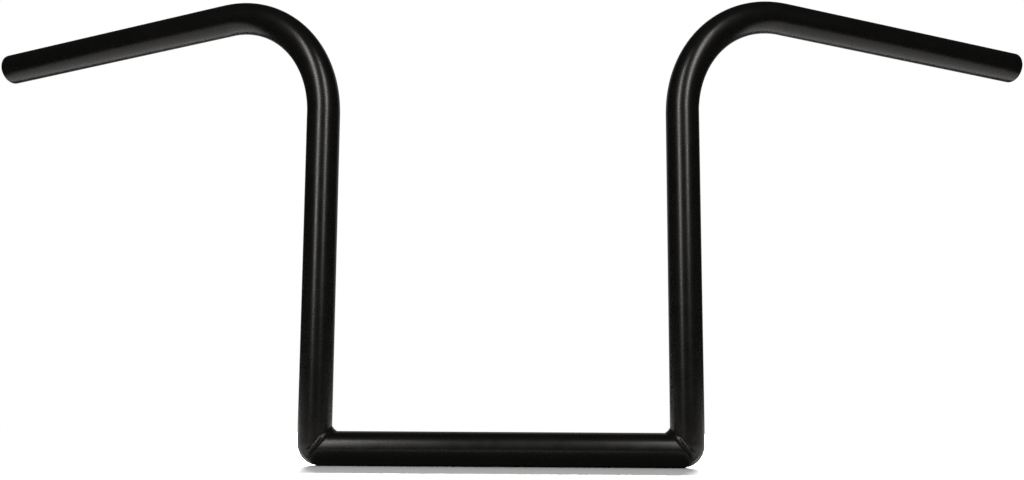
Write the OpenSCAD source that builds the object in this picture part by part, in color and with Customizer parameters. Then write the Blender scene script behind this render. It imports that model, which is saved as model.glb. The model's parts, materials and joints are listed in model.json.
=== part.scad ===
// A z-bar handlebar: a straight centre tube, two bent side tubes, and the weld at each mitred corner.
// The origin is the middle of the centre tube. X runs across the bar, Y back to the rider, and Z up
// the side tubes.

/* [Tube] */
// Outside diameter of all three tubes
tube_d = 25.4; // [22:0.1:32]
// Wall thickness of all three tubes
tube_wall = 2.5; // [2:0.1:4]

/* [Bends] */
// Distance between the axes of the two uprights
centre_span = 277; // [200:1:340]
// Straight upright, from the centre tube's axis to the start of its bend
upright_len = 255; // [120:1:400]
// Radius of each bend, at the tube's axis
bend_radius = 86; // [50:1:120]
// How much the wall draws thin in the bend, on its outside and on its bore
bend_thinning = 0.05; // [0.02:0.01:0.2]
// Angle by which each arm swings back from the plane of the uprights
sweep_back = 21; // [0:1:45]
// Angle by which each arm falls below the level
arm_drop = 4; // [0:1:20]
// Straight arm, from the end of its bend to the open end
arm_len = 235; // [120:1:320]

/* [Open ends] */
// Rounding of the outer edge at each open end
edge_round = 1.2; // [0.4:0.1:1.4]
// Chamfer of the bore at each open end
bore_chamfer = 0.5; // [0.2:0.1:0.6]

/* [Corner welds] */
// Radius to which the outer corner is dressed, as seen from the front
corner_round = 17; // [16.5:0.5:20]
// Gap between the two mitred tubes, which the weld fills
root_gap = 1.2; // [0.6:0.1:2]
// Leg of the weld along each tube at the inner corner
bead_leg = 4.6; // [3:0.1:6]
// Height of the bead above the seam that it covers, at the front and the back
bead_crown = 1.6; // [0.8:0.1:2]

/* [Hidden] */
$fn = 96;
tube_r = tube_d / 2;
bore_r = tube_r - tube_wall;
half_span = centre_span / 2;
// The rounding of the outer corner starts this far from the crossing of the tubes' axes
nose = corner_round - tube_r;
bend_angle = 90 + arm_drop;
paint = [0.05, 0.05, 0.055];
weld_paint = [0.09, 0.09, 0.095];

// The mitre plane holds the Y axis and this direction, from the outer corner to the inner one
inward = [-1, 0, 1] / sqrt(2);
// The direction across the mitre plane, from the centre tube to the upright
across = [1, 0, 1] / sqrt(2);
// The bead starts this far below the tube's surface, so that the surface trims it to a clean line
bead_sink = 0.6;
bead_root = 1.5;
// The dressed outer corner swallows the bead at this angle from the inner corner
bead_end = 150;
bead_steps = 60;
bead_points = 8;
// Larger than the bar, for the half spaces that cut the mitres
far = 2 * (centre_span + upright_len + arm_len);

// Half outline of a bar along -X, inset from the tube's outside, with its end dressed round
module dressed_bar_2d(inset, length) {
    translate([-length, 0]) square([length - nose, tube_r - inset]);
    intersection() {
        translate([-nose, -nose]) circle(r = corner_round - inset);
        translate([-nose, 0]) square(corner_round);
    }
}

// Half outline of a tube's wall, dressed round at its outer corner and open at its bore
module dressed_wall_2d(length) {
    difference() {
        dressed_bar_2d(0, length);
        translate([-length, 0]) square([length + tube_r, bore_r]);
    }
}

// Half outline of the weld metal that closes the bore behind the dressed corner
module corner_cap_2d() {
    difference() {
        dressed_bar_2d(0, tube_d);
        dressed_bar_2d(tube_wall, tube_d);
        translate([-tube_d, bore_r]) square([2 * tube_d, tube_wall]);
    }
}

// Turns a half outline about the X axis
module turned() {
    rotate([0, 90, 0]) rotate_extrude() mirror([1, -1]) children();
}

// Everything on the upright's side of the mitre plane, from start outwards
module upright_side(start = 0) {
    rotate([0, -45, 0]) translate([start, -far / 2, -far / 2]) cube(far);
}

// A shape of the centre tube's side of the corner, placed on the upright's side
module across_mitre() {
    mirror([1, 0, 1]) children();
}

// A shape drawn about the right corner, placed at the right (side 1) or the left (side -1)
module at_corner(side) {
    mirror([side < 0 ? 1 : 0, 0, 0]) translate([half_span, 0, 0]) children();
}

module centre_tube() {
    color(paint) difference() {
        turned() for (side = [0, 1])
            mirror([side, 0]) translate([half_span, 0]) dressed_wall_2d(half_span);
        for (side = [-1, 1])
            at_corner(side) upright_side(-root_gap / 2);
    }
}

// Half outline of the straight arm, its open end rounded outside and chamfered inside
module arm_wall_2d() {
    difference() {
        translate([bore_r, 0]) square([tube_wall, arm_len]);
        difference() {
            translate([tube_r - edge_round, arm_len - edge_round]) square(2 * edge_round);
            translate([tube_r - edge_round, arm_len - edge_round]) circle(r = edge_round);
        }
        translate([bore_r, arm_len]) rotate(45) square(sqrt(2) * bore_chamfer, center = true);
    }
}

// The bend and the arm, from the top of an upright whose foot is the origin
module bend_and_arm() {
    translate([0, 0, upright_len]) rotate([0, 0, sweep_back])
        translate([bend_radius, 0, 0]) rotate([90, 0, 180]) {
            difference() {
                rotate_extrude(angle = 180) translate([bend_radius, 0]) difference() {
                    circle(r = tube_r - bend_thinning);
                    circle(r = bore_r + bend_thinning);
                }
                rotate([0, 0, bend_angle]) translate([-far / 2, 0, -far / 2]) cube(far);
            }
            rotate([0, 0, bend_angle]) translate([bend_radius, 0, 0]) rotate([-90, 0, 0])
                rotate_extrude() arm_wall_2d();
        }
}

module side_tube(side) {
    color(paint) at_corner(side) {
        across_mitre() difference() {
            turned() dressed_wall_2d(upright_len);
            upright_side(-root_gap / 2);
        }
        bend_and_arm();
    }
}

// The tubes' outside radius where they pass the height z of the mitre line
function dressed_r(z) = z > nose ? tube_r : sqrt(corner_round ^ 2 - (z - nose) ^ 2) - nose;
// The height of the mitre line at angle t from the inner corner
function mitre_z(t) = cos(t) * (cos(t) > 0 ? tube_r : corner_round / sqrt(2) - nose);
// A point of the mitre line, where the surfaces of the two tubes meet
function mitre_point(t) =
    let (z = mitre_z(t))
    [-z, sign(t) * sqrt(max(dressed_r(z) ^ 2 - z ^ 2, 0)), z];
function outward(t) = cos(t) * inward + [0, sin(t), 0];
// The bead is a low fillet at the inner corner, full at the sides, and fades into the outer corner
function crown(t) =
    let (turn = abs(t))
    bead_crown * (turn < 90 ? 0.3 + 0.7 * sin(turn) : cos(90 * (turn - 90) / (bead_end - 90)));
// The middle of the bead's chord, moved off the mitre line so that its edges lie on both tubes
function chord_middle(t) = mitre_point(t) + bead_leg / sqrt(2) * max(cos(t), 0) * inward;
// One cross-section of the bead: its arched top, and one point inside the tubes' walls
function bead_section(t) = [
    for (i = [0 : bead_points])
        let (s = 2 * i / bead_points - 1)
        chord_middle(t) + s * bead_leg / sqrt(2) * across
            + (crown(t) * (1 - s * s) - bead_sink * s * s) * outward(t),
    mitre_point(t) - bead_root * outward(t)
];

module bead() {
    ring = bead_points + 2;
    sections = [for (i = [0 : bead_steps]) bead_section(bead_end * (2 * i / bead_steps - 1))];
    points = [for (section = sections) each section];
    sides = [
        for (i = [0 : bead_steps - 1], j = [0 : ring - 1])
            let (k = (j + 1) % ring)
            each [
                [i * ring + k, i * ring + j, (i + 1) * ring + j],
                [i * ring + k, (i + 1) * ring + j, (i + 1) * ring + k]
            ]
    ];
    start = [for (j = [0 : ring - 1]) j];
    finish = [for (j = [ring - 1 : -1 : 0]) bead_steps * ring + j];
    polyhedron(points = points, faces = concat([start], sides, [finish]));
}

// One side of the weld's root: the filled gap, and the cap over the end of the bore
module root_half() {
    intersection() {
        difference() {
            turned() difference() {
                dressed_bar_2d(0, tube_d);
                dressed_bar_2d(tube_wall, tube_d);
            }
            upright_side();
        }
        upright_side(-root_gap / 2);
    }
    difference() {
        turned() corner_cap_2d();
        upright_side();
    }
}

// The solid space of one tube beside the root gap, which trims the bead
module tube_space() {
    difference() {
        turned() dressed_bar_2d(0, 2 * tube_d);
        upright_side(-root_gap / 2);
    }
}

module corner_weld(side) {
    color(weld_paint) at_corner(side) {
        root_half();
        across_mitre() root_half();
        difference() {
            bead();
            tube_space();
            across_mitre() tube_space();
        }
    }
}

centre_tube();
side_tube(-1);  // left_side_tube
side_tube(1);  // right_side_tube
corner_weld(-1);  // left_corner_weld
corner_weld(1);  // right_corner_weld
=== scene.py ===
"""Looks of the Z-bar handlebar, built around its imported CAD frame.

The bar is one welded piece: a straight centre tube, an upright at each end of it,
and a swept-back arm bent out of the top of each upright. Every size comes from the
frame's mounts and boxes, or from the settings and constants below, so each piece
lies where its CAD node does. Lengths are metres, angles radians unless they are said
to be degrees. +X points right as the bar is photographed, which is what right means
in every name, and +Y points back towards the rider.
"""

import json
import math

import bmesh
import bpy
from bpy.props import FloatProperty, FloatVectorProperty, IntProperty, PointerProperty
from mathutils import Matrix, Vector


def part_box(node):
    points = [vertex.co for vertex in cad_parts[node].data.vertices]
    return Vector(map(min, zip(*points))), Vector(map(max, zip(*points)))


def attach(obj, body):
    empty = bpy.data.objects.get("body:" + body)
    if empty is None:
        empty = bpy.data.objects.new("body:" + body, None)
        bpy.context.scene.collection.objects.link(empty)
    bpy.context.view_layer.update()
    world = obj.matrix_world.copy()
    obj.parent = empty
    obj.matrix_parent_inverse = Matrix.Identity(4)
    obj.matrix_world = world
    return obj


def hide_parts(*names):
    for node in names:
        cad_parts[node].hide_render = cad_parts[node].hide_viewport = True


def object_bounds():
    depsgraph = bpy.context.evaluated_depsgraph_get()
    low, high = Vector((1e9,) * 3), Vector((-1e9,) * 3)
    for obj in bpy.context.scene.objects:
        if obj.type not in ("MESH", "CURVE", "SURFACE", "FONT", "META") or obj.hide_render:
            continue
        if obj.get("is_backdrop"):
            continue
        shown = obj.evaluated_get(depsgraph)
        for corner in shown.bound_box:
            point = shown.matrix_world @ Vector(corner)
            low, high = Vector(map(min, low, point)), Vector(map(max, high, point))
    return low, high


bl_info = {
    "name": "Z-Bar Handlebar",
    "version": (1, 0, 0),
    "blender": (4, 5, 0),
    "location": "View3D > Sidebar > Handlebar",
    "description": "Builds a welded Z-bar handlebar in satin black powder coat",
    "category": "Add Mesh",
}

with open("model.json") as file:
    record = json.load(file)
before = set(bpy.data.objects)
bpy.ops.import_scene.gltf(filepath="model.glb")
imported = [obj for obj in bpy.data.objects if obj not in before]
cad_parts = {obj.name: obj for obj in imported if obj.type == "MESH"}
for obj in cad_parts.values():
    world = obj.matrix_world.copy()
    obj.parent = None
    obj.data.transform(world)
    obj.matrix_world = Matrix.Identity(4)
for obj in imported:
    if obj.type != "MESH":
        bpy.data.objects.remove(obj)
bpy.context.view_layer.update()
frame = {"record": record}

COAT = "satin_black_powder_coat"
STEEL = "bore_steel"

# How finely the pieces are drawn: points round a tube, rings in its mitred foot,
# sections along a bead and steps across it.
RING_POINTS = 128
FOOT_RINGS = 32
BEAD_STEPS = 480
BEAD_ACROSS = 20


def mount(name):
    """The place and sizes of one of the frame's mounts, in metres."""
    found = next(m for m in frame["record"]["mounts"] if m["name"] == name)
    return (
        Vector(found["pos_m"]),
        Vector(found["axis"]),
        found["dims"]["r_mm"] / 1000,
        found["dims"]["length_mm"] / 1000,
    )


# A grip seat's mount stands this far inside the open end of its arm, and the seat
# stops this far short of that end.
SEAT_INSET = 0.020
SEAT_STOP = 0.0012

# What the frame says about the bar. The uprights stand half a span off the middle.
SEAT, SEAT_AXIS, TUBE_RADIUS, SEAT_LENGTH = mount("right_grip_seat")
HALF_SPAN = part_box("right_side_tube")[0].x + TUBE_RADIUS
SWEEP = math.atan2(SEAT_AXIS.y, SEAT_AXIS.x)
BEND_ANGLE = math.pi / 2 + math.asin(-SEAT_AXIS.z)

# Above this height over a corner, the rings of a tube are level.
FOOT_REACH = 0.030
# Over this length the tube draws in as its bend starts, and fills out as it ends.
RUN_IN = 0.003

# A corner is drawn at the origin, with its upright along +Z and the centre tube
# leaving towards -X. In the mitre's plane, INWARD points to the inner corner and
# BACK to the rider. ACROSS leaves that plane on the upright's side.
INWARD = Vector((-1, 0, 1)).normalized()
ACROSS = Vector((1, 0, 1)).normalized()
BACK = Vector((0, 1, 0))

# Where the bead changes, in degrees round the seam from the inner corner, which
# makes the outer corner 180. Each pair is the start and the length of a change.
HOLLOW_FADES = (0, 60)
CROWN_GROWS = (0, 75)
BEAD_WIDENS = (0, 80)
CORNER_DRESSED = (95, 31)
CROWN_GROUND_OFF = (95, 50)
EDGES_FLUSH = (112, 30)
# Lumps where the welder stopped and started again: their middle and half width in
# the same degrees, and their height.
LUMP = (57, 14, 0.0007)
SMALL_LUMP = (131, 8, 0.0006)
# How far a lump's crest leans to the upright's side, as a share of the half width.
LUMP_LEAN = 0.45
# Half the bead's width at the front and the back, and over the dressed corner.
CROWN_HALF = 0.0040
STRIP_HALF = 0.0045
# Depth of the bead's root under the seam, and of the hollow along its fillet.
ROOT_DEPTH = 0.0015
HOLLOW_DEPTH = 0.0008
# The crown's least height, and how deep the bead's edges sink into the tubes, round
# the corner's inside and over its dressed outside.
SKIN = 0.0001
EDGE_SINK = 0.0002
STRIP_SINK = 0.00006
# Share of the ripples' depth that is ground off where the corner is dressed.
RIPPLES_GROUND_OFF = 0.65

# The point at half the bar's height at which the soft lamps and the card are aimed.
BAR_MIDDLE = Vector((0, 0, 0.17))


class BarSizes(bpy.types.PropertyGroup):
    """Sizes of the tubes and welds that the frame's mounts don't give."""

    wall: FloatProperty(
        name="Wall",
        description="Thickness of the tube's wall",
        default=0.0025,
        min=0.001,
        max=0.005,
        precision=4,
        unit="LENGTH",
    )
    edge_round: FloatProperty(
        name="End Rounding",
        description="Radius of the rounded outer edge at each open end",
        default=0.00126,
        min=0.0002,
        max=0.002,
        precision=4,
        unit="LENGTH",
    )
    bore_chamfer: FloatProperty(
        name="Bore Chamfer",
        description="Chamfer where the bore meets the open end's face",
        default=0.0005,
        min=0.0001,
        max=0.001,
        precision=4,
        unit="LENGTH",
    )
    bend_thinning: FloatProperty(
        name="Bend Thinning",
        description="How far the outside of the wall draws in along the bend",
        default=0.00005,
        min=0.0,
        max=0.0005,
        precision=5,
        unit="LENGTH",
    )
    corner_round: FloatProperty(
        name="Corner Rounding",
        description="Radius to which the outer corner is dressed, seen from the front",
        default=0.017,
        min=0.0165,
        max=0.02,
        precision=4,
        unit="LENGTH",
    )
    root_gap: FloatProperty(
        name="Root Gap",
        description="Gap between the mitred ends, which the weld fills",
        default=0.0012,
        min=0.0004,
        max=0.003,
        precision=4,
        unit="LENGTH",
    )
    bead_leg: FloatProperty(
        name="Bead Leg",
        description="Leg of the fillet bead in the corner's inner angle",
        default=0.0043,
        min=0.002,
        max=0.008,
        precision=4,
        unit="LENGTH",
    )
    bead_crown: FloatProperty(
        name="Bead Crown",
        description="Height of the bead above the seam at the front and the back",
        default=0.00095,
        min=0.0002,
        max=0.002,
        precision=4,
        unit="LENGTH",
    )
    ripple_pitch: FloatProperty(
        name="Ripple Pitch",
        description="Distance from one ripple of the bead to the next",
        default=0.0024,
        min=0.0008,
        max=0.004,
        precision=4,
        unit="LENGTH",
    )
    ripple_depth: FloatProperty(
        name="Ripple Depth",
        description="Depth of the valleys between the ripples",
        default=0.00012,
        min=0.0,
        max=0.0005,
        precision=5,
        unit="LENGTH",
    )
    ripple_seed: IntProperty(
        name="Ripple Seed",
        description="Picks how the ripples wander",
        default=7,
        min=0,
    )


class CoatFinish(bpy.types.PropertyGroup):
    """Colours and grain of the powder coat and of the bare steel in the bores."""

    coat_colour: FloatVectorProperty(
        name="Coat",
        description="Colour of the powder coat",
        default=(0.0032, 0.0031, 0.0028),
        min=0.0,
        max=1.0,
        subtype="COLOR",
    )
    coat_roughness: FloatProperty(
        name="Coat Roughness",
        description="Roughness of the powder coat",
        default=0.27,
        min=0.05,
        max=0.9,
        subtype="FACTOR",
    )
    peel_size: FloatProperty(
        name="Orange Peel",
        description="Size of the cured powder's waviness",
        default=0.0016,
        min=0.0003,
        max=0.01,
        precision=4,
        unit="LENGTH",
    )
    peel_depth: FloatProperty(
        name="Orange Peel Depth",
        description="Depth of the cured powder's waviness",
        default=0.000013,
        min=0.0,
        max=0.0002,
        precision=6,
        unit="LENGTH",
    )
    bore_colour: FloatVectorProperty(
        name="Bore Steel",
        description="Colour of the bare steel inside the tubes",
        default=(0.20, 0.19, 0.18),
        min=0.0,
        max=1.0,
        subtype="COLOR",
    )
    overspray: FloatProperty(
        name="Overspray",
        description="How far the powder reaches into the open ends",
        default=0.014,
        min=0.0,
        max=0.1,
        unit="LENGTH",
    )


class StudioSetup(bpy.types.PropertyGroup):
    """Camera, lamps and floor of the photograph."""

    camera_place: FloatVectorProperty(
        name="Camera",
        description="Where the camera stands",
        default=(0.026708, -0.81974, 0.051244),
        precision=4,
        subtype="TRANSLATION",
        unit="LENGTH",
    )
    camera_yaw: FloatProperty(
        name="Yaw",
        description="Turn of the camera from straight ahead, to the right",
        default=math.radians(-1.31),
        precision=4,
        unit="ROTATION",
    )
    camera_pitch: FloatProperty(
        name="Pitch",
        description="How far the camera looks up",
        default=math.radians(7.32),
        precision=4,
        unit="ROTATION",
    )
    camera_roll: FloatProperty(
        name="Roll",
        description="Turn of the camera about its own axis",
        default=math.radians(0.28),
        precision=4,
        unit="ROTATION",
    )
    camera_lens: FloatProperty(
        name="Lens",
        description="Focal length in millimetres, on a sensor 36 mm wide",
        default=38.24,
        min=10.0,
        max=200.0,
    )
    lamp_power: FloatProperty(
        name="Lamp Power",
        description="Power of each of the two soft lamps",
        default=6.3,
        min=0.0,
        max=100.0,
        subtype="POWER",
    )
    lamp_spread: FloatProperty(
        name="Lamp Spread",
        description="How far to the side each soft lamp stands, seen from the bar",
        default=math.radians(27.0),
        unit="ROTATION",
    )
    lamp_distance: FloatProperty(
        name="Lamp Distance",
        description="Distance along the floor from the bar to each soft lamp",
        default=1.1,
        unit="LENGTH",
    )
    left_lamp_height: FloatProperty(
        name="Left Lamp Height",
        description="Height of the left lamp's middle",
        default=0.72,
        unit="LENGTH",
    )
    right_lamp_height: FloatProperty(
        name="Right Lamp Height",
        description="Height of the right lamp's middle",
        default=0.84,
        unit="LENGTH",
    )
    lamp_size: FloatVectorProperty(
        name="Lamp Size",
        description="Width and height of each soft lamp",
        size=2,
        default=(0.22, 1.2),
        unit="LENGTH",
    )
    back_power: FloatProperty(
        name="Back Lamp Power",
        description="Power of the wide lamp behind the bar, which lights only the floor",
        default=1000.0,
        min=0.0,
        max=2000.0,
        subtype="POWER",
    )
    back_place: FloatVectorProperty(
        name="Back Lamp",
        description="Where the wide lamp behind the bar stands",
        default=(0.0, 1.8, 0.62),
        subtype="TRANSLATION",
        unit="LENGTH",
    )
    back_size: FloatVectorProperty(
        name="Back Lamp Size",
        description="Width and height of the wide lamp behind the bar",
        size=2,
        default=(2.2, 0.36),
        unit="LENGTH",
    )
    card_power: FloatProperty(
        name="Card Power",
        description="Power of the large dim card behind the bar, which the gloss mirrors",
        default=4.5,
        min=0.0,
        max=50.0,
        subtype="POWER",
    )
    card_size: FloatVectorProperty(
        name="Card Size",
        description="Width and height of the large dim card behind the bar",
        size=2,
        default=(3.0, 2.0),
        unit="LENGTH",
    )
    floor_colour: FloatVectorProperty(
        name="Floor",
        description="Colour of the pale floor",
        default=(0.8, 0.8, 0.79),
        min=0.0,
        max=1.0,
        subtype="COLOR",
    )
    floor_level: FloatProperty(
        name="Floor Level",
        description="Share of its colour that the floor shows to the camera",
        default=0.65,
        min=0.0,
        max=1.0,
        subtype="FACTOR",
    )
    floor_echo: FloatProperty(
        name="Floor Echo",
        description="Share of its colour that the floor throws back onto things",
        default=0.12,
        min=0.0,
        max=1.0,
        subtype="FACTOR",
    )
    floor_size: FloatVectorProperty(
        name="Floor Size",
        description="Half the floor's width, and its reach in front of and behind the bar",
        size=3,
        default=(0.85, 0.21, 0.5),
        unit="LENGTH",
    )
    fill: FloatProperty(
        name="Fill",
        description="Brightness of the soft light from all round",
        default=0.4,
        min=0.0,
        max=1.0,
    )
    surround: FloatProperty(
        name="Surround",
        description="Brightness of the dim studio that the gloss mirrors",
        default=0.02,
        min=0.0,
        max=1.0,
    )


# Meshes


def new_piece(name, rings):
    """A closed mesh over rings of points, each joined to the next and the last to the first."""
    count = len(rings[0])
    mesh = bpy.data.meshes.new(name)
    points = [point for line in rings for point in line]
    faces = []
    for i in range(len(rings)):
        here, there = i * count, (i + 1) % len(rings) * count
        for j in range(count):
            k = (j + 1) % count
            faces.append((here + j, here + k, there + k, there + j))
    mesh.from_pydata(points, [], faces)
    piece = bpy.data.objects.new(name, mesh)
    bpy.context.scene.collection.objects.link(piece)
    return piece


def ring(radius, height, turn=0.0):
    """One ring round the Z axis. radius and height are numbers, or functions of the angle."""
    points = []
    for j in range(RING_POINTS):
        angle = 2 * math.pi * j / RING_POINTS
        rho = radius(angle) if callable(radius) else radius
        z = height(angle) if callable(height) else height
        points.append((rho * math.cos(angle - turn), rho * math.sin(angle - turn), z))
    return points


def dressed_radius(sizes, z):
    """The outside radius of a tube that stands on a corner, at a height above the corner.

    Its end is rounded by an arc that starts a little above the corner, so that the
    welded corner shows the arc's radius from the front.
    """
    nose = sizes.corner_round - TUBE_RADIUS
    return math.sqrt(sizes.corner_round**2 - min(z - nose, 0.0) ** 2) - nose


def foot_edges(sizes):
    """The mitred foot of a tube that stands on a corner, as two functions of the angle.

    The corner is at the origin, the tube runs up the Z axis, and the other tube
    leaves towards -X. The mitre keeps x + z at the gap or more. The first function
    gives the height of the wall's lower edge outside, and the second gives that
    height in the bore.
    """
    bore = TUBE_RADIUS - sizes.wall
    gap = sizes.root_gap / math.sqrt(2)
    nose = sizes.corner_round - TUBE_RADIUS
    below = gap - nose
    lowest = nose - math.sqrt(sizes.corner_round**2 - (bore + nose) ** 2)

    def outside(angle):
        c = math.cos(angle)
        if gap - TUBE_RADIUS * c >= nose:
            return gap - TUBE_RADIUS * c
        half = nose - c * below
        rest = nose * nose + below * below - sizes.corner_round**2
        radius = (math.sqrt(half * half - (1 + c * c) * rest) - half) / (1 + c * c)
        return max(gap - radius * c, lowest)

    def inside(angle):
        return max(gap - bore * math.cos(angle), lowest)

    return outside, inside


def foot_rings(sizes, turn=0.0):
    """Rings of the outside from the mitred foot up to where they are level, foot first."""
    outside = foot_edges(sizes)[0]
    rings = []
    for i in range(FOOT_RINGS):
        share = (i / FOOT_RINGS) ** 1.5

        def height(angle, share=share):
            low = outside(angle)
            return low + (FOOT_REACH - low) * share

        def radius(angle, height=height):
            return dressed_radius(sizes, height(angle))

        rings.append(ring(radius, height, turn))
    return rings


def steps(start, end, count):
    """count evenly spaced values from start, without end."""
    return [start + (end - start) * i / count for i in range(count)]


def ease(value):
    """0 below 0, 1 above 1, and smooth between."""
    value = max(0.0, min(1.0, value))
    return value * value * (3 - 2 * value)


def smooth(mesh, angle=math.radians(35)):
    """Smooth shading, with edges sharper than the angle left sharp."""
    mesh.shade_smooth()
    mesh.set_sharp_from_angle(angle=angle)


def close_and_face_out(mesh):
    """Merges doubled points, then turns every face outwards."""
    shape = bmesh.new()
    shape.from_mesh(mesh)
    bmesh.ops.remove_doubles(shape, verts=shape.verts, dist=1e-7)
    bmesh.ops.dissolve_degenerate(shape, dist=1e-7, edges=shape.edges)
    bmesh.ops.recalc_face_normals(shape, faces=shape.faces)
    shape.to_mesh(mesh)
    shape.free()


def add_values(mesh, name, values, domain="POINT", kind="FLOAT"):
    """Stores one value per point or face as a named attribute."""
    attribute = mesh.attributes.new(name, kind, domain)
    attribute.data.foreach_set("value", values)


def mark_bore(mesh, first, last):
    """Marks the faces that start at the rings from first up to last as the bore's."""
    flags = [first <= i // RING_POINTS < last for i in range(len(mesh.polygons))]
    add_values(mesh, "bore", flags, "FACE", "BOOLEAN")


def mirrored(piece, name):
    """A copy of a right-hand piece for the left-hand side, with its faces turned back out."""
    mesh = piece.data.copy()
    mesh.transform(Matrix.Scale(-1, 4, Vector((1, 0, 0))))
    close_and_face_out(mesh)
    mesh.name = name
    other = bpy.data.objects.new(name, mesh)
    bpy.context.scene.collection.objects.link(other)
    return other


def dress(piece, node):
    """Sets a finished piece on the frame: it stands for its CAD node and rides on the bar."""
    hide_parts(node)
    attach(piece, "root")


# Geometry Nodes


class Tree:
    """A Geometry Nodes tree written one node a line."""

    def __init__(self, name):
        self.group = bpy.data.node_groups.new(name, "GeometryNodeTree")
        self.group.interface.new_socket(
            "Geometry", in_out="INPUT", socket_type="NodeSocketGeometry"
        )
        self.group.interface.new_socket(
            "Geometry", in_out="OUTPUT", socket_type="NodeSocketGeometry"
        )
        self.start = self.group.nodes.new("NodeGroupInput")
        self.end = self.group.nodes.new("NodeGroupOutput")

    def ask(self, name, kind, about):
        """A named input of the tree."""
        socket = self.group.interface.new_socket(
            name, in_out="INPUT", socket_type="NodeSocket" + kind
        )
        socket.description = about
        return self.start.outputs[name]

    def node(self, kind, *inputs, out=0, **settings):
        """A node with its settings and inputs in order; None leaves an input as it is."""
        made = self.group.nodes.new(kind)
        for key, value in settings.items():
            setattr(made, key, value)
        sockets = [s for s in made.inputs if s.enabled]
        for socket, value in zip(sockets, inputs):
            if isinstance(value, bpy.types.NodeSocket):
                self.group.links.new(value, socket)
            elif value is not None:
                socket.default_value = value
        return [s for s in made.outputs if s.enabled][out]

    def math(self, operation, *inputs):
        """A math node's result."""
        return self.node("ShaderNodeMath", *inputs, operation=operation)

    def attribute(self, name, kind="FLOAT"):
        """The values of a named attribute of the piece."""
        return self.node("GeometryNodeInputNamedAttribute", name, data_type=kind)

    def finish(self, geometry):
        """Sends the geometry to the tree's output, and gives the finished tree."""
        self.group.links.new(geometry, self.end.inputs[0])
        return self.group


def apply_tree(piece, group, values):
    """Runs a tree on a piece, with values for its named inputs, and keeps the plain mesh."""
    modifier = piece.modifiers.new(group.name, "NODES")
    modifier.node_group = group
    for name, value in values.items():
        modifier[group.interface.items_tree[name].identifier] = value
    depsgraph = bpy.context.evaluated_depsgraph_get()
    made = bpy.data.meshes.new_from_object(
        piece.evaluated_get(depsgraph),
        preserve_all_data_layers=True,
        depsgraph=depsgraph,
    )
    piece.modifiers.remove(modifier)
    rough = piece.data
    piece.data = made
    made.name = piece.name
    bpy.data.meshes.remove(rough)


def tube_bender():
    """Bends a straight tube as a rotary bender does.

    The part past the start turns about one centre, and all of it is then swept back.
    """
    tree = Tree("Tube Bender")
    start = tree.ask("Bend Start", "Float", "Height at which the bend starts")
    radius = tree.ask("Bend Radius", "Float", "Radius of the bend's centre line")
    angle = tree.ask("Bend Angle", "Float", "How far the tube is turned")
    sweep = tree.ask("Sweep", "Float", "Turn of the bend's plane about the upright")
    corner = tree.ask("Corner", "Vector", "Where the upright stands")
    coat = tree.ask("Coat", "Material", "Finish outside")
    steel = tree.ask("Bore Steel", "Material", "Finish in the bore")

    place = tree.node("GeometryNodeInputPosition")
    x, y, z = (tree.node("ShaderNodeSeparateXYZ", place, out=i) for i in range(3))
    beyond = tree.math("SUBTRACT", z, start)
    turn = tree.math("MAXIMUM", tree.math("DIVIDE", beyond, radius), 0.0)
    turn = tree.math("MINIMUM", turn, angle)
    left = tree.math("SUBTRACT", z, tree.math("MULTIPLY", turn, radius))
    straight = tree.node("ShaderNodeCombineXYZ", x, y, left)
    centre = tree.node("ShaderNodeCombineXYZ", radius, 0.0, start)
    bent = tree.node("ShaderNodeVectorRotate", straight, centre, turn, rotation_type="Y_AXIS")
    swept = tree.node("ShaderNodeVectorRotate", bent, None, sweep, rotation_type="Z_AXIS")
    placed = tree.node("ShaderNodeVectorMath", swept, corner, operation="ADD")

    shape = tree.node("GeometryNodeSetPosition", tree.start.outputs["Geometry"], None, placed)
    shape = tree.node("GeometryNodeRealizeInstances", shape)
    shape = tree.node("GeometryNodeSetMaterial", shape, None, coat)
    shape = tree.node("GeometryNodeSetMaterial", shape, tree.attribute("bore", "BOOLEAN"), steel)
    return tree.finish(shape)


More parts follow.
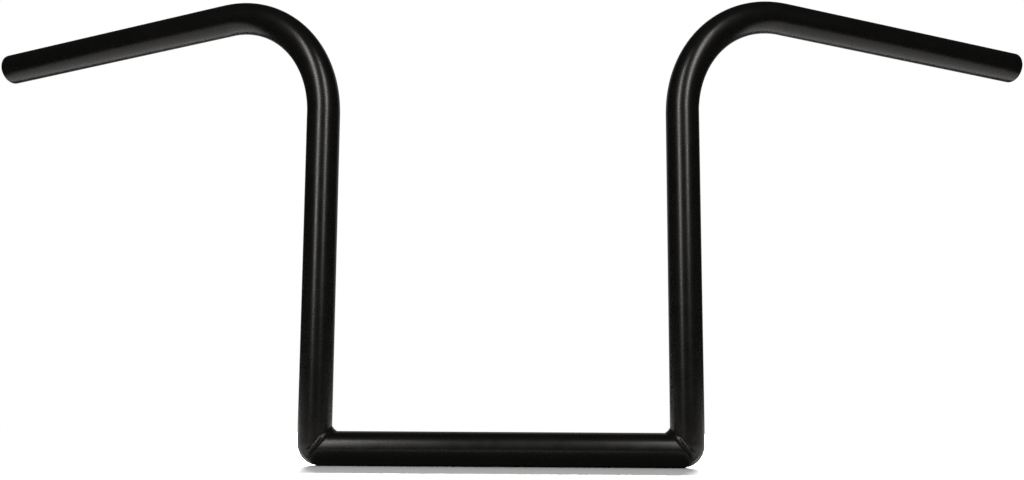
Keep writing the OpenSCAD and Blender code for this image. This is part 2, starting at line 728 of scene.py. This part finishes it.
def weld_rippler():
    """Cuts the valleys between a weld's ripples into a smooth bead.

    The bead carries its length along the run, its place across from -1 to 1, and
    how strongly it is rippled. Each valley trails in the middle of the bead and
    leads at its edges, as the back of a weld pool does.
    """
    # How far a valley trails and how far it wanders, both in ripples, the scale of
    # the noise that it wanders by, and how narrow it is.
    trail, wandering, noise_scale, narrowness = 0.55, 1.6, 220.0, 2.6
    tree = Tree("Weld Rippler")
    pitch = tree.ask("Pitch", "Float", "Distance between ripples")
    depth = tree.ask("Depth", "Float", "Depth of the valleys")
    seed = tree.ask("Seed", "Float", "Picks how the ripples wander")
    coat = tree.ask("Coat", "Material", "Finish of the bead")

    across = tree.attribute("across")
    wander = tree.node(
        "ShaderNodeTexNoise", None, seed, noise_scale, 1.0, 0.5, noise_dimensions="4D"
    )
    bow = tree.math("MULTIPLY", tree.math("MULTIPLY", across, across), trail)
    count = tree.math("DIVIDE", tree.attribute("run"), pitch)
    count = tree.math("SUBTRACT", count, bow)
    count = tree.math("MULTIPLY_ADD", wander, wandering, count)
    within = tree.math("SUBTRACT", tree.math("MULTIPLY", tree.math("FRACT", count), 2.0), 1.0)
    valley = tree.math("POWER", tree.math("ABSOLUTE", within), narrowness)
    valley = tree.math("MULTIPLY", valley, tree.attribute("rippled"))
    drop = tree.math("MULTIPLY", tree.math("MULTIPLY", valley, depth), -1.0)
    offset = tree.node(
        "ShaderNodeVectorMath", tree.node("GeometryNodeInputNormal"), drop, operation="SCALE"
    )

    shape = tree.node("GeometryNodeSetPosition", tree.start.outputs["Geometry"], None, None, offset)
    shape = tree.node("GeometryNodeRealizeInstances", shape)
    shape = tree.node("GeometryNodeSetMaterial", shape, None, coat)
    return tree.finish(shape)


# Materials


class Finish:
    """The shader nodes of a new material or world, written one node a line."""

    def __init__(self, owner):
        self.owner = owner
        owner.use_nodes = True
        self.nodes = owner.node_tree.nodes
        self.links = owner.node_tree.links
        self.nodes.clear()

    def node(self, kind, inputs=None, **settings):
        """A node with its settings, and a value or a link for each input that is named."""
        made = self.nodes.new(kind)
        for key, value in settings.items():
            setattr(made, key, value)
        for key, value in (inputs or {}).items():
            if isinstance(value, bpy.types.NodeSocket):
                self.links.new(value, made.inputs[key])
            else:
                made.inputs[key].default_value = value
        return made

    def noise(self, size, detail=2.0, roughness=0.5):
        """Noise on the piece's own coordinates, with features of a size in metres."""
        place = self.node("ShaderNodeTexCoord").outputs["Object"]
        return self.node(
            "ShaderNodeTexNoise",
            {"Vector": place, "Scale": 1 / size, "Detail": detail, "Roughness": roughness},
        ).outputs["Fac"]

    def between(self, factor, low, high, start=0.3, end=0.7):
        """The factor's middle range spread from low to high."""
        return self.node(
            "ShaderNodeMapRange",
            {"Value": factor, "From Min": start, "From Max": end, "To Min": low, "To Max": high},
        ).outputs["Result"]

    def finish(self, shader):
        """Sends the shader to the material's output, and gives the finished material."""
        self.node("ShaderNodeOutputMaterial", {"Surface": shader})
        return self.owner


def shade(colour, share):
    """A colour made darker by a share below 1 or lighter by one above, with its alpha."""
    return (*(min(c * share, 1.0) for c in colour), 1.0)


def mix_colours(look, factor, one, other):
    """A colour between two, by a factor."""
    made = look.node("ShaderNodeMix", data_type="RGBA")
    sockets = {s.identifier: s for s in made.inputs}
    look.links.new(factor, sockets["Factor_Float"])
    for key, value in (("A_Color", one), ("B_Color", other)):
        if isinstance(value, bpy.types.NodeSocket):
            look.links.new(value, sockets[key])
        else:
            sockets[key].default_value = value
    return next(s for s in made.outputs if s.identifier == "Result_Color")


def powder_coat(finish):
    """Satin black powder coat: fine grain on a soft orange peel, with slightly uneven gloss."""
    look = Finish(bpy.data.materials.new(COAT))
    colour = mix_colours(
        look,
        look.between(look.noise(0.03, detail=3.0), 0.0, 1.0),
        shade(finish.coat_colour, 0.85),
        shade(finish.coat_colour, 1.2),
    )
    uneven = 0.025
    gloss = look.between(
        look.noise(0.012, detail=4.0),
        finish.coat_roughness - uneven,
        finish.coat_roughness + uneven,
    )
    peel = look.node(
        "ShaderNodeBump",
        {
            "Height": look.noise(finish.peel_size, detail=1.0),
            "Distance": finish.peel_depth,
            "Strength": 1.0,
        },
    ).outputs["Normal"]
    grain = look.node(
        "ShaderNodeBump",
        {
            "Height": look.noise(finish.peel_size / 5),
            "Distance": finish.peel_depth / 5,
            "Strength": 1.0,
            "Normal": peel,
        },
    ).outputs["Normal"]
    shader = look.node(
        "ShaderNodeBsdfPrincipled",
        {
            "Base Color": colour,
            "Roughness": gloss,
            "Normal": grain,
            "IOR": 1.5,
            "Specular IOR Level": 0.5,
            "Specular Tint": (1.0, 0.97, 0.93, 1.0),
        },
    )
    return look.finish(shader.outputs["BSDF"])


def bore_steel(finish):
    """Bare drawn steel inside a tube, dusted with powder near the open end."""
    look = Finish(bpy.data.materials.new(STEEL))
    depth = look.node("ShaderNodeAttribute", attribute_name="depth").outputs["Fac"]
    edge = look.node(
        "ShaderNodeMath",
        {0: look.noise(0.004, detail=4.0, roughness=0.7), 1: finish.overspray, 2: depth},
        operation="MULTIPLY_ADD",
    ).outputs[0]
    bare = look.between(edge, 0.0, 1.0, finish.overspray * 0.7, finish.overspray * 1.5)
    steel = mix_colours(
        look,
        look.between(look.noise(0.006, detail=5.0, roughness=0.65), 0.0, 1.0),
        shade(finish.bore_colour, 0.6),
        shade(finish.bore_colour, 1.3),
    )
    colour = mix_colours(look, bare, (*finish.coat_colour, 1.0), steel)
    drawn = look.node(
        "ShaderNodeBump",
        {"Height": look.noise(0.0008, detail=3.0), "Distance": 0.00002, "Strength": 1.0},
    ).outputs["Normal"]
    shader = look.node(
        "ShaderNodeBsdfPrincipled",
        {
            "Base Color": colour,
            "Metallic": look.between(bare, 0.0, 0.9, 0.0, 1.0),
            "Roughness": look.between(look.noise(0.003, detail=3.0), 0.45, 0.65),
            "Normal": drawn,
            "IOR": 1.5,
        },
    )
    return look.finish(shader.outputs["BSDF"])


def coat_and_steel(context):
    """The bar's two materials, made the first time that they are asked for."""
    finish = context.scene.handlebar_finish
    made = bpy.data.materials
    return made.get(COAT) or powder_coat(finish), made.get(STEEL) or bore_steel(finish)


# The pieces


class HANDLEBAR_OT_centre_tube(bpy.types.Operator):
    """Builds the straight tube that the riser clamps hold, mitred at both ends"""

    bl_idname = "handlebar.centre_tube"
    bl_label = "Centre Tube"

    def execute(self, context):
        sizes = context.scene.handlebar_sizes
        coat, steel = coat_and_steel(context)
        inside = foot_edges(sizes)[1]
        bore = TUBE_RADIUS - sizes.wall
        span = 2 * HALF_SPAN
        near = foot_rings(sizes)
        far = [[(x, y, span - z) for x, y, z in points] for points in reversed(near)]
        rings = [
            *near,
            *(ring(TUBE_RADIUS, z) for z in steps(FOOT_REACH, span - FOOT_REACH, 16)),
            ring(TUBE_RADIUS, span - FOOT_REACH),
            *far,
            ring(bore, lambda angle: span - inside(angle)),
            ring(bore, inside),
        ]
        piece = new_piece("centre_tube_coated", rings)

        # The tube is drawn up the Z axis from the right corner. Exchanging x and z
        # lays it along the X axis with its dressed sides still facing down and out.
        lay_down = Matrix(((0, 0, -1, HALF_SPAN), (0, 1, 0, 0), (-1, 0, 0, 0), (0, 0, 0, 1)))
        piece.data.transform(lay_down)
        mark_bore(piece.data, len(rings) - 2, len(rings) - 1)
        close_and_face_out(piece.data)
        smooth(piece.data)
        piece.data.materials.append(coat)
        piece.data.materials.append(steel)
        for face, flag in zip(piece.data.polygons, piece.data.attributes["bore"].data):
            face.material_index = int(flag.value)
        dress(piece, "centre_tube")
        return {"FINISHED"}


def straight_side_tube(sizes, upright, bend_length, arm):
    """The side tube before bending: mitred foot at the origin, rounded open end at the top.

    It is drawn turned against the sweep, because the bender turns the whole tube by it.
    """
    bore = TUBE_RADIUS - sizes.wall
    inside = foot_edges(sizes)[1]
    bend_end = upright + bend_length
    top = bend_end + arm

    def drawn(z):
        """The outside radius at a height, drawn in along the bend."""
        return TUBE_RADIUS - sizes.bend_thinning * ease(min(z - upright, bend_end - z) / RUN_IN)

    heights = [
        *steps(FOOT_REACH, upright - RUN_IN, 12),
        *steps(upright - RUN_IN, upright, 2),
        *steps(upright, upright + RUN_IN, 4),
        *steps(upright + RUN_IN, bend_end - RUN_IN, 72),
        *steps(bend_end - RUN_IN, bend_end, 4),
        *steps(bend_end, top - sizes.edge_round, 14),
    ]
    outside = [*foot_rings(sizes, SWEEP), *(ring(drawn(z), z, SWEEP) for z in heights)]
    lip = []
    for turned in (*steps(0.0, math.pi / 2, 8), math.pi / 2):
        lip.append(
            ring(
                TUBE_RADIUS - sizes.edge_round * (1 - math.cos(turned)),
                top - sizes.edge_round * (1 - math.sin(turned)),
                SWEEP,
            )
        )
    lip.append(ring(bore + sizes.bore_chamfer, top, SWEEP))
    bore_top = top - sizes.bore_chamfer
    bore_heights = [
        *steps(bore_top, bend_end, 14),
        *steps(bend_end, upright, 72),
        *steps(upright, FOOT_REACH, 10),
        FOOT_REACH,
    ]
    inner = [ring(bore, z, SWEEP) for z in bore_heights]
    inner.append(ring(bore, inside, SWEEP))
    rings = [*outside, *lip, *inner]
    piece = new_piece("side_tube_coated", rings)
    mesh = piece.data
    mark_bore(mesh, len(outside) + len(lip), len(rings) - 1)
    add_values(mesh, "depth", [max(top - v.co.z, 0.0) for v in mesh.vertices])
    close_and_face_out(mesh)
    return piece


class HANDLEBAR_OT_side_tubes(bpy.types.Operator):
    """Builds the two side tubes: upright, bend and swept-back arm in one length"""

    bl_idname = "handlebar.side_tubes"
    bl_label = "Side Tubes"

    def execute(self, context):
        sizes = context.scene.handlebar_sizes
        coat, steel = coat_and_steel(context)
        arm = SEAT_LENGTH + SEAT_STOP
        bend_end = SEAT + SEAT_AXIS * (SEAT_INSET - arm)
        out = math.hypot(bend_end.x - HALF_SPAN, bend_end.y)
        bend_radius = out / (1 - math.cos(BEND_ANGLE))
        upright = bend_end.z - bend_radius * math.sin(BEND_ANGLE)

        right = straight_side_tube(sizes, upright, bend_radius * BEND_ANGLE, arm)
        right.name = "right_side_tube_coated"
        apply_tree(
            right,
            tube_bender(),
            {
                "Bend Start": upright,
                "Bend Radius": bend_radius,
                "Bend Angle": BEND_ANGLE,
                "Sweep": SWEEP,
                "Corner": (HALF_SPAN, 0.0, 0.0),
                "Coat": coat,
                "Bore Steel": steel,
            },
        )
        smooth(right.data)
        left = mirrored(right, "left_side_tube_coated")
        dress(right, "right_side_tube")
        dress(left, "left_side_tube")
        return {"FINISHED"}


def done(change, away):
    """How much of one of the bead's changes is done, from 0 to 1, at an angle in degrees."""
    start, length = change
    return ease((away - start) / length)


def lump_at(lump, away):
    """How much of a lump of the bead stands, from 0 to 1, at an angle in degrees."""
    middle, half_width, _ = lump
    return math.exp(-(((away - middle) / half_width) ** 2))


def seam_point(sizes, angle):
    """The point where the two tubes' surfaces meet, at an angle from the inner corner."""
    c = math.cos(angle)
    nose = sizes.corner_round - TUBE_RADIUS
    z = c * (TUBE_RADIUS if c > 0 else sizes.corner_round / math.sqrt(2) - nose)
    y = math.sqrt(max(dressed_radius(sizes, z) ** 2 - z * z, 0.0))
    return z * math.sqrt(2) * INWARD + math.copysign(y, math.sin(angle)) * BACK


def surface_rise(sizes, place, outward):
    """How far the upright's surface lies from a place beside the seam, along outward.

    The search starts 3 mm to either side and halves what is left at each step.
    """
    low, high = -0.003, 0.003
    for _ in range(20):
        middle = (low + high) / 2
        x, y, z = place + middle * outward
        if math.hypot(x, y) < dressed_radius(sizes, z):
            low = middle
        else:
            high = middle
    return low


def bead_rings(sizes):
    """Sections of the corner weld's bead round the mitre, and their length along it.

    The bead is a hollow fillet in the inner angle and a soft crown at the front and
    the back, with lumps where the welder stopped and started again. Over the outer
    corner it is a dressed strip that follows the rounded surface and covers the
    feathered ends of both walls.
    """
    fillet = sizes.bead_leg / math.sqrt(2)
    rings, run, last = [], [0.0], None
    for i in range(BEAD_STEPS):
        angle = math.tau * i / BEAD_STEPS - math.pi
        away = abs(math.degrees(angle))
        c, s = math.cos(angle), math.sin(angle)
        seam = seam_point(sizes, angle)
        outward = c * INWARD + s * BACK
        middle = seam + fillet * max(c, 0.0) * INWARD

        dressed = done(CORNER_DRESSED, away)
        lump = lump_at(LUMP, away)
        crown = sizes.bead_crown * done(CROWN_GROWS, away) * (1 - done(CROWN_GROUND_OFF, away))
        crown += LUMP[-1] * lump + SMALL_LUMP[-1] * lump_at(SMALL_LUMP, away)
        crown = max(crown, SKIN)
        half = fillet + (CROWN_HALF - fillet) * done(BEAD_WIDENS, away)
        half += (STRIP_HALF - CROWN_HALF) * dressed
        hollow = HOLLOW_DEPTH * (1 - done(HOLLOW_FADES, away))
        sink = EDGE_SINK + (STRIP_SINK - EDGE_SINK) * dressed
        flush = done(EDGES_FLUSH, away)

        # Across the bead, t runs from -1 to 1. The edges fall away as low rises to 1.
        # The crown's bell is broader at a lump, and leans to the upright's side there.
        section = []
        for j in range(BEAD_ACROSS + 1):
            t = 2 * j / BEAD_ACROSS - 1
            rise = 0.0
            if dressed:
                rise = dressed * surface_rise(sizes, seam + abs(t) * half * ACROSS, outward)
            low = t * t + (t**8 - t * t) * flush
            lean = LUMP_LEAN * lump * (1 - t * t)
            bell = (1 - abs(t - lean) ** (2 + 2 * lump)) ** 2
            proud = SKIN * (1 - low) + (crown - SKIN) * bell - hollow * (1 - t * t)
            section.append(middle + t * half * ACROSS + (rise + proud - sink * low) * outward)
        section.append(seam - ROOT_DEPTH * outward)
        rings.append(section)
        if last is not None:
            run.append(run[-1] + (middle - last).length)
        last = middle
    return rings, run


class HANDLEBAR_OT_corner_welds(bpy.types.Operator):
    """Builds the weld beads that join the centre tube to the uprights"""

    bl_idname = "handlebar.corner_welds"
    bl_label = "Corner Welds"

    def execute(self, context):
        sizes = context.scene.handlebar_sizes
        coat = coat_and_steel(context)[0]
        rings, run = bead_rings(sizes)
        right = new_piece("right_corner_weld_bead", rings)
        mesh = right.data
        count = BEAD_ACROSS + 2
        across, rippled, along = [], [], []
        for i in range(BEAD_STEPS):
            away = abs(360 * i / BEAD_STEPS - 180)
            strength = 1 - RIPPLES_GROUND_OFF * done(CROWN_GROUND_OFF, away)
            for j in range(count):
                t = 2 * j / BEAD_ACROSS - 1 if j <= BEAD_ACROSS else 0.0
                across.append(t)
                along.append(run[i])
                rippled.append(strength * (1 - t**4) if j <= BEAD_ACROSS else 0.0)
        add_values(mesh, "across", across)
        add_values(mesh, "run", along)
        add_values(mesh, "rippled", rippled)
        close_and_face_out(mesh)
        apply_tree(
            right,
            weld_rippler(),
            {
                "Pitch": sizes.ripple_pitch,
                "Depth": sizes.ripple_depth,
                "Seed": float(sizes.ripple_seed),
                "Coat": coat,
            },
        )
        right.data.transform(Matrix.Translation((HALF_SPAN, 0, 0)))
        smooth(right.data, math.radians(60))
        left = mirrored(right, "left_corner_weld_bead")
        dress(right, "right_corner_weld")
        dress(left, "left_corner_weld")
        return {"FINISHED"}


# The studio


def soft_lamp(name, power, size, place, target):
    """An oval soft lamp at a place, facing a target. The camera doesn't see it."""
    light = bpy.data.lights.new(name, "AREA")
    light.shape = "ELLIPSE"
    light.size, light.size_y = size
    light.energy = power
    lamp = bpy.data.objects.new(name, light)
    bpy.context.scene.collection.objects.link(lamp)
    lamp.visible_camera = False
    lamp.location = place
    lamp.rotation_euler = (target - place).to_track_quat("-Z", "Y").to_euler()
    return lamp


def seen_rays(look):
    """1 for a ray from the camera or through something clear, 0 for any other ray."""
    path = look.node("ShaderNodeLightPath")
    return look.node(
        "ShaderNodeMath",
        {0: path.outputs["Is Camera Ray"], 1: path.outputs["Is Transmission Ray"]},
        operation="MAXIMUM",
    ).outputs[0]


def floor_finish(studio):
    """Pale floor that clips to white for the camera and keeps the bar's shadow."""
    look = Finish(bpy.data.materials.new("pale_floor"))
    share = look.node(
        "ShaderNodeMapRange",
        {"Value": seen_rays(look), "To Min": studio.floor_echo, "To Max": studio.floor_level},
    ).outputs["Result"]
    colour = look.node(
        "ShaderNodeVectorMath", {0: studio.floor_colour, "Scale": share}, operation="SCALE"
    ).outputs[0]
    shader = look.node("ShaderNodeBsdfDiffuse", {"Color": colour})
    return look.finish(shader.outputs["BSDF"])


def surround(studio):
    """White behind the bar, soft light all round it, and a dim studio for its gloss to mirror."""
    look = Finish(bpy.data.worlds.new("studio_surround"))
    path = look.node("ShaderNodeLightPath")
    light = look.node(
        "ShaderNodeMapRange",
        {"Value": path.outputs["Is Glossy Ray"], "To Min": studio.fill, "To Max": studio.surround},
    )
    level = look.node(
        "ShaderNodeMapRange",
        {"Value": seen_rays(look), "To Min": light.outputs["Result"], "To Max": 1.0},
    )
    back = look.node(
        "ShaderNodeBackground", {"Color": (1, 1, 1, 1), "Strength": level.outputs["Result"]}
    )
    look.node("ShaderNodeOutputWorld", {"Surface": back.outputs["Background"]})
    bpy.context.scene.world = look.owner


def photo_camera(studio):
    """The camera of the photograph."""
    lens = bpy.data.cameras.new("photo_camera")
    lens.sensor_width = 36
    lens.lens = studio.camera_lens
    lens.clip_start, lens.clip_end = 0.01, 50
    camera = bpy.data.objects.new("photo_camera", lens)
    bpy.context.scene.collection.objects.link(camera)
    level = Matrix.Rotation(-studio.camera_yaw, 4, "Z") @ Matrix.Rotation(math.pi / 2, 4, "X")
    pitch = Matrix.Rotation(studio.camera_pitch, 4, "X")
    roll = Matrix.Rotation(studio.camera_roll, 4, "Z")
    camera.matrix_world = Matrix.Translation(studio.camera_place) @ level @ (pitch @ roll)
    bpy.context.scene.camera = camera


class HANDLEBAR_OT_studio(bpy.types.Operator):
    """Sets up the pale floor, the soft lamps, the surround and the photograph's camera"""

    bl_idname = "handlebar.studio"
    bl_label = "Studio"

    def execute(self, context):
        studio = context.scene.handlebar_studio
        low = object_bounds()[0]

        mesh = bpy.data.meshes.new("floor")
        wide, front, back = studio.floor_size
        corners = [(-wide, -front), (wide, -front), (wide, back), (-wide, back)]
        mesh.from_pydata([(x, y, low.z) for x, y in corners], [], [(0, 1, 2, 3)])
        mesh.materials.append(floor_finish(studio))
        floor = bpy.data.objects.new("floor", mesh)
        context.scene.collection.objects.link(floor)
        floor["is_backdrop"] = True

        for name, side, height in (
            ("left_lamp", -1, studio.left_lamp_height),
            ("right_lamp", 1, studio.right_lamp_height),
        ):
            away = Matrix.Rotation(studio.lamp_spread * side, 3, "Z") @ Vector((0, -1, 0))
            place = away * studio.lamp_distance + Vector((0, 0, height))
            soft_lamp(name, studio.lamp_power, studio.lamp_size, place, BAR_MIDDLE)

        # The back lamp casts the bar's shadow towards the camera. It would light the
        # bar's back too strongly, so it lights the floor alone.
        place = Vector(studio.back_place)
        back = soft_lamp("back_lamp", studio.back_power, studio.back_size, place, Vector())
        back.visible_glossy = False
        lit = bpy.data.collections.new("lit_by_back_lamp")
        lit.objects.link(floor)
        back.light_linking.receiver_collection = lit
        soft_lamp("rear_card", studio.card_power, studio.card_size, place, BAR_MIDDLE)
        surround(studio)
        photo_camera(studio)

        context.scene.view_settings.view_transform = "Standard"
        return {"FINISHED"}


class HANDLEBAR_PT_sidebar(bpy.types.Panel):
    """Settings of the handlebar and the steps that build it"""

    bl_idname = "HANDLEBAR_PT_sidebar"
    bl_label = "Z-Bar Handlebar"
    bl_space_type = "VIEW_3D"
    bl_region_type = "UI"
    bl_category = "Handlebar"

    def draw(self, context):
        layout = self.layout
        scene = context.scene
        for title, group in (
            ("Sizes", scene.handlebar_sizes),
            ("Finish", scene.handlebar_finish),
            ("Studio", scene.handlebar_studio),
        ):
            box = layout.box()
            box.label(text=title)
            for name in group.__annotations__:
                box.prop(group, name)
        for step in STEPS:
            layout.operator(step.bl_idname)


STEPS = (
    HANDLEBAR_OT_centre_tube,
    HANDLEBAR_OT_side_tubes,
    HANDLEBAR_OT_corner_welds,
    HANDLEBAR_OT_studio,
)
CLASSES = (BarSizes, CoatFinish, StudioSetup, *STEPS, HANDLEBAR_PT_sidebar)


def register():
    for cls in CLASSES:
        bpy.utils.register_class(cls)
    bpy.types.Scene.handlebar_sizes = PointerProperty(type=BarSizes)
    bpy.types.Scene.handlebar_finish = PointerProperty(type=CoatFinish)
    bpy.types.Scene.handlebar_studio = PointerProperty(type=StudioSetup)


def unregister():
    del bpy.types.Scene.handlebar_studio
    del bpy.types.Scene.handlebar_finish
    del bpy.types.Scene.handlebar_sizes
    for cls in reversed(CLASSES):
        bpy.utils.unregister_class(cls)


def main():
    register()
    bpy.ops.handlebar.centre_tube()
    bpy.ops.handlebar.side_tubes()
    bpy.ops.handlebar.corner_welds()
    bpy.ops.handlebar.studio()


if __name__ == "__main__":
    main()
